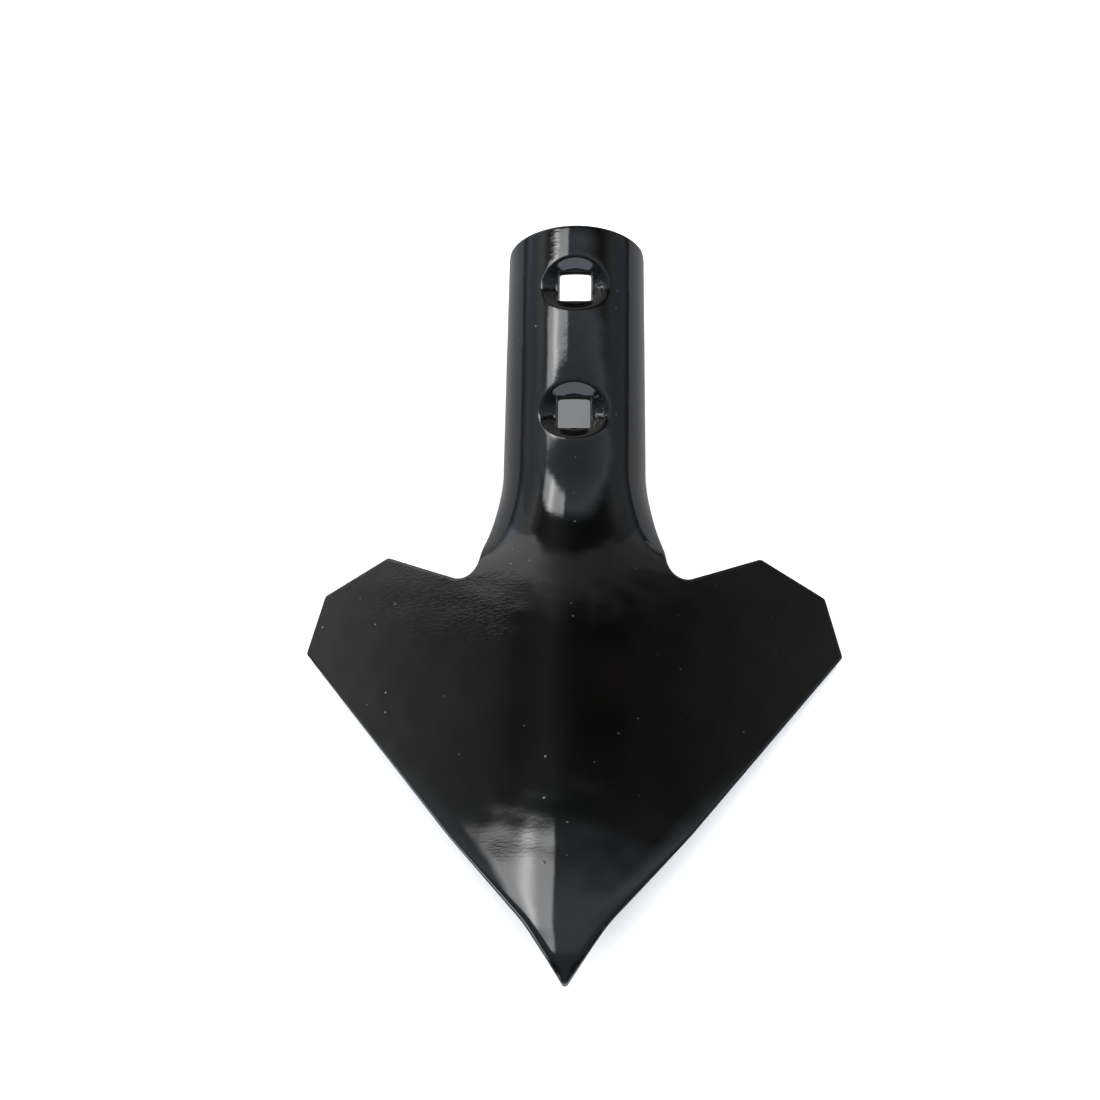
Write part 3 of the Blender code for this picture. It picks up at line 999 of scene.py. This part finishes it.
# pale colour of the nibs: partly dust, partly a painted glint where a nib's bump would catch the light
DUST_AND_PAINTED_GLINT = (0.30, 0.29, 0.27, 1.0)
DUST_AND_GLINT_COVER = 0.35
VEIL_SIZE = 0.035               # the dusty veil lies in clouds of this size
VEIL_CUT = (-0.10, 0.25)
PRIMER_AND_REFLECTION_SHOWN = 0.75             # on the cut walls, and nothing round the holes
SMOOTHEST = 0.055               # roughness of the clean film
VEIL_ROUGHER = 0.03
GRAIN_ROUGHER = 0.05
THIN_ROUGHER = 0.30
ENAMEL_IOR = 1.5
print("enamel roughness from", SMOOTHEST)


# %% The gloss black enamel
def gloss_black_enamel():
    """Colour, roughness and bump of the paint, from the marks above."""
    paint = bpy.data.materials.new("gloss_black_enamel")
    paint.use_nodes = True
    tree = paint.node_tree
    shader = tree.nodes["Principled BSDF"]
    shader.inputs["IOR"].default_value = ENAMEL_IOR
    at = blank_coordinates(tree)
    grain, grain_amount = wing_grain(tree, at)
    peel = enamel_peel(tree, at)
    marks, by_holes = countersink_marks(tree, at)
    nibs = enamel_nibs(tree, at)

    # bump: all heights together, in metres
    total = sums(tree, "ADD", grain["Height"], peel)
    total = sums(tree, "ADD", total, marks)
    total = sums(tree, "ADD", total, sums(tree, "MULTIPLY", nibs, NIB_HEIGHT))
    bump = put(tree, "ShaderNodeBump")
    bump.inputs["Distance"].default_value = 1.0
    tree.links.new(total, bump.inputs["Height"])
    tree.links.new(bump.outputs[0], shader.inputs["Normal"])

    # colour: a faint dusty veil in clouds, primer on thin edges that is lightened as a painted reflection
    # of the paper, and pale dust with a painted glint on the nibs
    cloud = use_group(tree, orange_peel, Place=at["place"], Size=VEIL_SIZE, Depth=1.0)["Height"]
    veil = step_up(tree, cloud, *VEIL_CUT)
    thin_film_and_reflection = use_group(tree, thin_edge_and_painted_reflection, Place=at["place"], Height=at["height"], Half_Plate=PLATE / 2,
                     Amount=span(tree, by_holes, PRIMER_AND_REFLECTION_SHOWN, 0.0))["Mask"]
    colour = mixed(tree, veil, ENAMEL, ENAMEL_DUSTY)
    colour = mixed(tree, thin_film_and_reflection, colour, PRIMER_AND_PAINTED_REFLECTION)
    colour = mixed(tree, sums(tree, "MULTIPLY", nibs, DUST_AND_GLINT_COVER), colour, DUST_AND_PAINTED_GLINT)
    tree.links.new(colour, shader.inputs["Base Color"])

    # roughness: the film is a little duller where it is veiled, grained or thin
    grained = sums(tree, "MULTIPLY", grain["Mask"], grain_amount)
    rough = sums(tree, "MULTIPLY_ADD", veil, VEIL_ROUGHER, SMOOTHEST)
    rough = sums(tree, "MULTIPLY_ADD", grained, GRAIN_ROUGHER, rough)
    rough = sums(tree, "MULTIPLY_ADD", thin_film_and_reflection, THIN_ROUGHER, rough)
    tree.links.new(rough, shader.inputs["Roughness"])
    return paint


enamel = gloss_black_enamel()
sweep.data.materials.append(enamel)
print("paint:", enamel.name, "with", len(enamel.node_tree.nodes), "nodes")

# %% [markdown]
# ## The floor
#
# A sheet of white paper under the share. It is part of the stage and not of the object, and it is
# wide enough that its far edge is nearly lost against the white backdrop. In a real studio, black
# cloth would lie just outside the camera's view, to stop the paper from shining back off the sides
# of the neck. Here the paper simply looks darker to a ray that comes off a glossy surface, which
# Light Path can tell.

# %% White paper
FLOOR_WIDTH = 3.2
PAPER_DARK = (0.86, 0.86, 0.86, 1.0)
PAPER_LIGHT = (0.88, 0.88, 0.88, 1.0)
PAPER_FIBRE = 0.004             # size of the paper's faint clouds
PAPER_ROUGHNESS = 0.9
PAPER_SPECULAR = 0.1
MIRRORED_PAPER = (0.30, 0.295, 0.30, 1.0)


def paper_floor():
    """One square on the ground, from its four corners."""
    corners = np.array([(-1.0, -1.0, 0.0), (1.0, -1.0, 0.0), (1.0, 1.0, 0.0), (-1.0, 1.0, 0.0)])
    data = bpy.data.meshes.new("paper_floor")
    data.from_pydata((corners * FLOOR_WIDTH / 2).tolist(), [], [(0, 1, 2, 3)])
    floor = bpy.data.objects.new("paper_floor", data)
    bpy.context.scene.collection.objects.link(floor)
    paper = bpy.data.materials.new("white_paper")
    paper.use_nodes = True
    tree = paper.node_tree
    shader = tree.nodes["Principled BSDF"]
    place = put(tree, "ShaderNodeTexCoord").outputs["Object"]
    tone = use_group(tree, orange_peel, Place=place, Size=PAPER_FIBRE, Depth=1.0)["Height"]
    white = mixed(tree, sums(tree, "ADD", tone, 0.5), PAPER_DARK, PAPER_LIGHT)
    mirrored = put(tree, "ShaderNodeLightPath").outputs["Is Glossy Ray"]
    tree.links.new(mixed(tree, mirrored, white, MIRRORED_PAPER), shader.inputs["Base Color"])
    shader.inputs["Roughness"].default_value = PAPER_ROUGHNESS
    shader.inputs["Specular IOR Level"].default_value = PAPER_SPECULAR
    data.materials.append(paper)
    return floor


floor = paper_floor()
print("floor:", floor.name, FLOOR_WIDTH, "m wide")

# %% [markdown]
# ## The light
#
# Gloss black shows its surroundings and little else, so the studio has to be built with care. It
# is painted on the sky round the object. A direction (x, y, z) is laid flat on a round map by
# u = x / (1 + z) and v = y / (1 + z): straight up is the middle, and the horizon is a circle of
# radius 1. On that map a soft box is an area between soft steps:
#
# * a bright window on the left, which gives the streaks on the nose, the flare and the neck, and
#   a lower one beside it, which lines the rolled edge of the nose;
# * a dark band behind it, the ceiling beyond the lights, which gives the wings their deep black;
# * a pale wall at the back, brighter on the left than on the right;
# * a wide soft box behind the camera, which the share mirrors when it is seen from the back.
#
# In the cells below, a pair of numbers is again where a soft step starts and ends, and a slanted
# edge is a slope and a start: v = slope * u + start.

# %% The round map of the sky
MAP_LIMIT = 0.05                # keeps the division safe for a direction straight down


def sky_map(tree):
    """u and v of the direction that a ray looks in."""
    direction = put(tree, "ShaderNodeTexCoord").outputs["Object"]
    x, y, z = put(tree, "ShaderNodeSeparateXYZ", (direction,)).outputs
    reach_down = sums(tree, "MAXIMUM", sums(tree, "ADD", z, 1.0), MAP_LIMIT)
    return sums(tree, "DIVIDE", x, reach_down), sums(tree, "DIVIDE", y, reach_down)


def past_edge(tree, u, v, slope, start):
    """How far v lies past a slanted edge: v - (slope * u + start)."""
    return sums(tree, "SUBTRACT", v, sums(tree, "MULTIPLY_ADD", u, slope, start))


print("sky map: the horizon is a circle of radius 1")

# %% Ceiling, dark band and back wall
# brightness along v for the ceiling, and from left, 0, to right, 1, for the other two
CEILING = [(0.0, 0.42), (0.10, 0.50), (0.145, 0.72), (0.165, 0.95), (0.19, 0.60)]
BAND = [(0.20, 0.60), (0.27, 0.95), (0.30, 0.42), (0.34, 0.15), (0.41, 0.21), (0.46, 0.130),
        (0.50, 0.060), (0.56, 0.035), (0.64, 0.040), (0.675, 0.09), (0.70, 0.20), (0.75, 0.40)]
WALL = [(0.10, 0.80), (0.32, 0.95), (0.36, 0.80), (0.42, 0.60), (0.50, 0.44), (0.62, 0.30),
        (0.68, 0.17), (0.75, 0.30), (0.95, 0.50)]
BAND_START = (0.170, 0.228)
WALL_START = (0.288, 0.312)
WALL_LEVEL_HALF = 0.15          # the wall's lower edge is level this far out, and rises from there
WALL_RISE = 0.16


def room_light(tree, u, v):
    """The three brightness curves, one after the other from near to far."""
    u_share = sums(tree, "MULTIPLY_ADD", u, 0.5, 0.5)           # u runs from -1 to 1, a curve from 0 to 1
    outside = sums(tree, "SUBTRACT", sums(tree, "ABSOLUTE", u), WALL_LEVEL_HALF)
    rise = sums(tree, "MULTIPLY", sums(tree, "MAXIMUM", outside, 0.0), WALL_RISE)
    enter = step_up(tree, v, *BAND_START)
    leave = step_up(tree, sums(tree, "SUBTRACT", v, rise), *WALL_START)
    near = mixed(tree, enter, ramp(tree, v, CEILING), ramp(tree, u_share, BAND))
    return mixed(tree, leave, near, ramp(tree, u_share, WALL))


print("curves with", len(CEILING), len(BAND), "and", len(WALL), "stops")

# %% The bright ends of the back wall
LEFT_EDGES = ((-0.10, 0.295), (-0.71, 0.0815))  # the higher of two slanted edges counts
LEFT_SOFTNESS = (-0.004, 0.007)
LEFT_REACH = (-0.10, -0.30)
LEFT_BRIGHTER = 0.75
RIGHT_EDGE = (0.65, 0.145)
RIGHT_SOFTNESS = (-0.01, 0.03)
RIGHT_REACH = (0.22, 0.34)
RIGHT_BRIGHTER = 0.20


def wall_ends(tree, u, v):
    """What the two bright ends add to the back wall."""
    past_left = sums(tree, "MINIMUM", *(past_edge(tree, u, v, *edge) for edge in LEFT_EDGES))
    past_right = past_edge(tree, u, v, *RIGHT_EDGE)
    left = inside(tree, (past_left, *LEFT_SOFTNESS), (u, *LEFT_REACH))
    right = inside(tree, (past_right, *RIGHT_SOFTNESS), (u, *RIGHT_REACH))
    return sums(tree, "ADD", sums(tree, "MULTIPLY", left, LEFT_BRIGHTER),
                sums(tree, "MULTIPLY", right, RIGHT_BRIGHTER))


print("wall ends:", LEFT_BRIGHTER, "on the left and", RIGHT_BRIGHTER, "on the right")

# %% The two windows
WINDOW_POWER = 5.0
WINDOW_CORE_POWER = 6.0
WINDOW_CORE = (-0.26, 0.035)    # middle and width of the brighter core
WINDOW_LEFT = (-0.395, -0.350)
WINDOW_RIGHT = (-0.09, -0.115)
WINDOW_BOTTOM = (0.135, 0.152)
WINDOW_TOP_EDGE = (-0.06, 0.192)
WINDOW_TOP = (0.012, -0.008)
LOW_WINDOW_POWER = 5.0
LOW_WINDOW_SIDES = ((-1.00, -0.92), (-0.66, -0.74))
LOW_WINDOW_ENDS = ((-0.34, -0.28), (0.10, 0.02))


def windows(tree, u, v):
    """The window with its core, and the low one that only edges and countersinks mirror."""
    top = past_edge(tree, u, v, *WINDOW_TOP_EDGE)
    window = inside(tree, (u, *WINDOW_LEFT), (u, *WINDOW_RIGHT), (v, *WINDOW_BOTTOM),
                    (top, *WINDOW_TOP))
    power = sums(tree, "MULTIPLY_ADD", bell(tree, u, *WINDOW_CORE), WINDOW_CORE_POWER, WINDOW_POWER)
    low = inside(tree, *((u, *side) for side in LOW_WINDOW_SIDES),
                 *((v, *end) for end in LOW_WINDOW_ENDS))
    return sums(tree, "MULTIPLY_ADD", low, LOW_WINDOW_POWER, sums(tree, "MULTIPLY", window, power))


print("window:", WINDOW_POWER, "and up to", WINDOW_POWER + WINDOW_CORE_POWER, "in its core")

# %% The room behind the camera
FRONT = (-0.20, 0.0)            # the room is darker on the camera's side
HORIZON = (0.95, 0.65)          # and near the horizon
DARKER = 0.32
SOFT_BOX_BOTTOM = (-0.62, -0.57)
SOFT_BOX_TOP = (-0.33, -0.37)
SOFT_BOX_SIDES = ((-0.38, -0.33), (0.38, 0.33))
SOFT_BOX_POWER = 2.2


def with_front(tree, u, v, level):
    """Darken the level towards the front and the horizon, and add the soft box there."""
    radius = sums(tree, "ADD", sums(tree, "MULTIPLY", u, u), sums(tree, "MULTIPLY", v, v))
    front = span(tree, step_up(tree, v, *FRONT), DARKER, 1.0)
    high = span(tree, step_up(tree, radius, *HORIZON), DARKER, 1.0)
    level = sums(tree, "MULTIPLY", level, sums(tree, "MULTIPLY", front, high))
    soft_box = inside(tree, (v, *SOFT_BOX_TOP), (v, *SOFT_BOX_BOTTOM),
                      *((u, *side) for side in SOFT_BOX_SIDES))
    return sums(tree, "MULTIPLY_ADD", soft_box, SOFT_BOX_POWER, level)


print("soft box behind the camera:", SOFT_BOX_POWER)

# %% The studio round the share
COOL_V = (0.26, 0.17)           # daylight is cool overhead and at the sides
COOL_U = (0.45, 0.65)
NEUTRAL = (1.0, 1.0, 0.98, 1.0)
COOL = (0.87, 1.0, 1.15, 1.0)
WINDOW_COLOUR = (1.0, 0.99, 0.99, 1.0)
BACKDROP = (1.0, 1.0, 1.0, 1.0)
BACKDROP_POWER = 0.97           # what the camera itself sees behind the floor


def studio_sky():
    """The room's light plus the windows' for every ray but the camera's own, which see white."""
    world = bpy.data.worlds.new("studio")
    world.use_nodes = True
    tree = world.node_tree
    tree.nodes.clear()
    u, v = sky_map(tree)
    level = sums(tree, "ADD", room_light(tree, u, v), wall_ends(tree, u, v))
    level = with_front(tree, u, v, level)
    cool = sums(tree, "MAXIMUM", step_up(tree, v, *COOL_V),
                step_up(tree, sums(tree, "ABSOLUTE", u), *COOL_U))
    tint = mixed(tree, cool, NEUTRAL, COOL)
    soft_light = put(tree, "ShaderNodeBackground", (tint, level))
    window_light = put(tree, "ShaderNodeBackground", (WINDOW_COLOUR, windows(tree, u, v)))
    light = put(tree, "ShaderNodeAddShader", (soft_light.outputs[0], window_light.outputs[0]))
    backdrop = put(tree, "ShaderNodeBackground", (BACKDROP, BACKDROP_POWER))
    seen = put(tree, "ShaderNodeLightPath").outputs["Is Camera Ray"]
    both = put(tree, "ShaderNodeMixShader", (seen, light.outputs[0], backdrop.outputs[0]))
    put(tree, "ShaderNodeOutputWorld", (both.outputs[0],))
    return world


bpy.context.scene.world = studio_sky()
print("studio:", len(bpy.context.scene.world.node_tree.nodes), "nodes")

# %% [markdown]
# A wide lamp straight above brings the paper up to white. The enamel doesn't mirror it, because it
# stands for many lamps spread over the whole ceiling and not for one bright square.

# %% The lamp for the paper
LAMP_HEIGHT = 3.0
LAMP_WIDTH = 4.0
LAMP_POWER = 210.0

lamp_data = bpy.data.lights.new("paper_lamp", "AREA")
lamp_data.size = LAMP_WIDTH
lamp_data.energy = LAMP_POWER
lamp = bpy.data.objects.new("paper_lamp", lamp_data)
lamp.location = (0.0, 0.0, LAMP_HEIGHT)
lamp.visible_glossy = False
bpy.context.scene.collection.objects.link(lamp)
print("lamp:", LAMP_POWER, "W at", LAMP_HEIGHT, "m")

# %% [markdown]
# ## The camera
#
# The share is seen from above its nose, a little from the right, from about half a metre away. The
# camera is aimed at a point on the blade and then rolled by a few degrees.

# %% Camera
CAMERA_PLACE = Vector((0.01081, -0.22236, 0.45614))
CAMERA_AIM = Vector((-0.0087, 0.0104, 0.0300))
CAMERA_ROLL = -4.0              # degrees
LENS = 40.91                    # millimetres
SENSOR = 36.0                   # millimetres

camera_data = bpy.data.cameras.new("camera")
camera_data.lens = LENS
camera_data.sensor_width = SENSOR
camera = bpy.data.objects.new("camera", camera_data)
bpy.context.scene.collection.objects.link(camera)
aim = (CAMERA_AIM - CAMERA_PLACE).to_track_quat("-Z", "Y").to_matrix().to_4x4()
camera.matrix_world = (Matrix.Translation(CAMERA_PLACE) @ aim
                       @ Matrix.Rotation(radians(CAMERA_ROLL), 4, "Z"))
bpy.context.scene.camera = camera
bpy.context.scene.view_settings.view_transform = "Standard"
print("camera axes:", [[round(v, 4) for v in row] for row in camera.matrix_world.to_3x3()])
